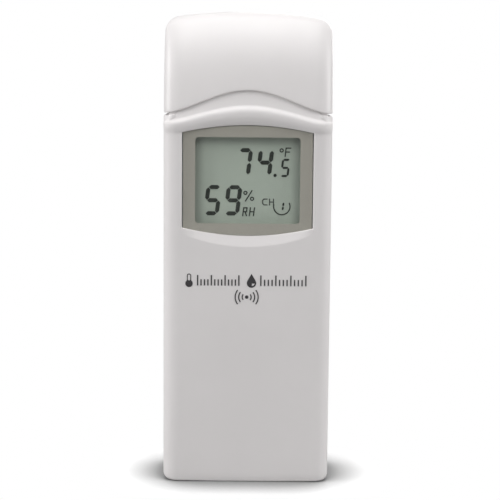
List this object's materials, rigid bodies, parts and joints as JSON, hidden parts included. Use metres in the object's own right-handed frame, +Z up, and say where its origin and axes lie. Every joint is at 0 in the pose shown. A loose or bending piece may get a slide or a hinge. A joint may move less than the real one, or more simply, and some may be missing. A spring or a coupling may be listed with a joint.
{
  "type": "wireless temperature and humidity sensor",
  "caption": "Slim white wireless sensor with a rain hood, a recessed display showing temperature and humidity, a sliding battery door, channel switches and a wall keyhole.",
  "frame": {"origin": "centre of the flat base, under the middle of the case's width and depth", "axes": "+Z up towards the hood, -Y out of the display, +Y out of the battery door, +X to the right as the display is read"},
  "size_m": [0.043, 0.021, 0.1215],
  "materials": {
    "case_plastic": "satin, fine moulded texture",
    "hood_plastic": "satin, fine moulded texture",
    "window_clear": "clear, polished",
    "mask_ink": "printed taupe ink",
    "icon_ink": "printed dark grey ink",
    "lcd_glass": "grey-green reflective display glass",
    "segment_ink": "dark liquid crystal segments",
    "frame_plastic": "matt white",
    "zebra_rubber": "layered elastomer",
    "board_laminate": "green solder mask",
    "epoxy_black": "black potting resin",
    "tinned_metal": "bright tin plate",
    "capacitor_sleeve": "dark blue shrink sleeve",
    "chip_ceramic": "fired ceramic with tinned ends",
    "radio_laminate": "blue solder mask",
    "gold_pin": "gold-flashed brass",
    "antenna_copper": "lacquered copper wire",
    "sensor_plastic": "moulded sensor shell",
    "switch_red": "red switch body",
    "slider_white": "white slider",
    "cell_metal": "bright plated can",
    "cell_label": "shrink sleeve with a pale band",
    "spring_steel": "nickel-plated spring steel",
    "lead_red": "red insulation",
    "lead_black": "black insulation",
    "gasket_rubber": "soft grey-black seal",
    "screw_steel": "zinc-plated screw"
  },
  "bodies": {
    "sensor_case": {"front_cover": "case_plastic", "rear_housing": "case_plastic", "hood": "hood_plastic", "display_window": "window_clear", "window_mask": "mask_ink", "front_icons": "icon_ink", "lcd_panel": "lcd_glass", "lcd_segments": "segment_ink", "lcd_frame": "frame_plastic", "zebra_strips": "zebra_rubber", "main_board": "board_laminate", "controller_chip": "epoxy_black", "clock_crystal": "tinned_metal", "smoothing_capacitor": "capacitor_sleeve", "chip_parts": "chip_ceramic", "radio_board": "radio_laminate", "radio_resonator": "tinned_metal", "radio_pins": "gold_pin", "antenna_coil": "antenna_copper", "humidity_sensor": "sensor_plastic", "thermistor": "epoxy_black", "dip_switch_body": "switch_red", "battery_left": "cell_metal", "battery_left_sleeve": "cell_label", "battery_right": "cell_metal", "battery_right_sleeve": "cell_label", "contact_bridge": "spring_steel", "contact_positive": "spring_steel", "contact_negative": "spring_steel", "spring_left": "spring_steel", "spring_right": "spring_steel", "lead_positive": "lead_red", "lead_negative": "lead_black", "door_gasket": "gasket_rubber", "case_screws": "screw_steel", "board_screws": "screw_steel", "hood_screws": "screw_steel"},
    "battery_door": {"battery_door": "case_plastic"},
    "slider_1": {"dip_slider_1": "slider_white"},
    "slider_2": {"dip_slider_2": "slider_white"},
    "slider_3": {"dip_slider_3": "slider_white"},
    "slider_4": {"dip_slider_4": "slider_white"}
  },
  "joints": [
    {"name": "door_slide", "type": "slide", "parent": "sensor_case", "child": "battery_door", "axis": [0, 0, -1], "range_m": [0, 0.084]},
    {"name": "slider_1_slide", "type": "slide", "parent": "sensor_case", "child": "slider_1", "axis": [0, 0, 1], "range_m": [0, 0.0016]},
    {"name": "slider_2_slide", "type": "slide", "parent": "sensor_case", "child": "slider_2", "axis": [0, 0, 1], "range_m": [0, 0.0016]},
    {"name": "slider_3_slide", "type": "slide", "parent": "sensor_case", "child": "slider_3", "axis": [0, 0, 1], "range_m": [0, 0.0016]},
    {"name": "slider_4_slide", "type": "slide", "parent": "sensor_case", "child": "slider_4", "axis": [0, 0, 1], "range_m": [0, 0.0016]}
  ]
}
